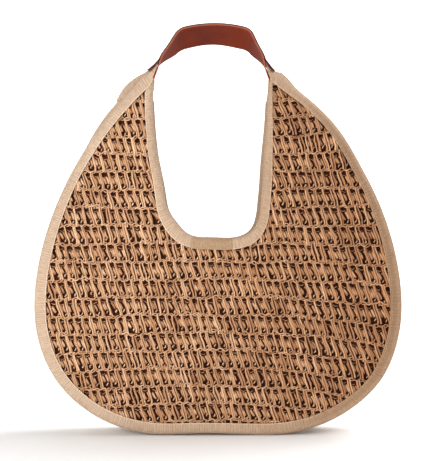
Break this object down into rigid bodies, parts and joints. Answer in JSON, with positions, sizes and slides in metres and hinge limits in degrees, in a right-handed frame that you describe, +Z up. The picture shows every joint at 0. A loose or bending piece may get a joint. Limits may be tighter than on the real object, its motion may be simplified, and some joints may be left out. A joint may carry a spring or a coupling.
{
  "type": "hobo bag",
  "caption": "Rounded crocheted straw hobo bag with a deep U mouth, taped edges, a gusset and a short leather handle that swings.",
  "frame": {"origin": "middle of the base, on the surface that the bag stands on", "axes": "+X across the bag to the right, +Y from the front panel to the back panel, +Z up"},
  "size_m": [0.399, 0.088, 0.4447],
  "materials": {
    "straw": "crocheted paper straw, matt with a light sheen",
    "tape": "ribbed grosgrain",
    "gusset_cloth": "ribbed cotton",
    "lining_cloth": "plain cotton twill",
    "strap_leather": "smooth, semi-gloss",
    "strap_underside": "smooth, satin",
    "stiffener": "leather board",
    "thread": "waxed",
    "snap_metal": "polished",
    "washer_metal": "plain"
  },
  "bodies": {
    "bag": {"front_panel": "straw", "back_panel": "straw", "gusset": "gusset_cloth", "front_edge_binding": "tape", "back_edge_binding": "tape", "front_mouth_binding": "tape", "back_mouth_binding": "tape", "front_lining": "lining_cloth", "back_lining": "lining_cloth", "gusset_lining": "lining_cloth", "slip_pocket": "lining_cloth", "pocket_hem": "tape", "snap_stud": "snap_metal", "snap_socket": "snap_metal", "stud_washer": "washer_metal", "socket_washer": "washer_metal"},
    "handle": {"handle_outer": "strap_leather", "handle_inner": "strap_underside", "handle_core": "stiffener", "handle_thread": "thread", "left_horn_tip": "tape", "right_horn_tip": "tape"}
  },
  "joints": [
    {"name": "handle_swing", "type": "hinge", "parent": "bag", "child": "handle", "pos_m": [-0.0075, 0, 0.39], "axis": [1, 0, 0], "range_deg": [-19, 51]}
  ]
}
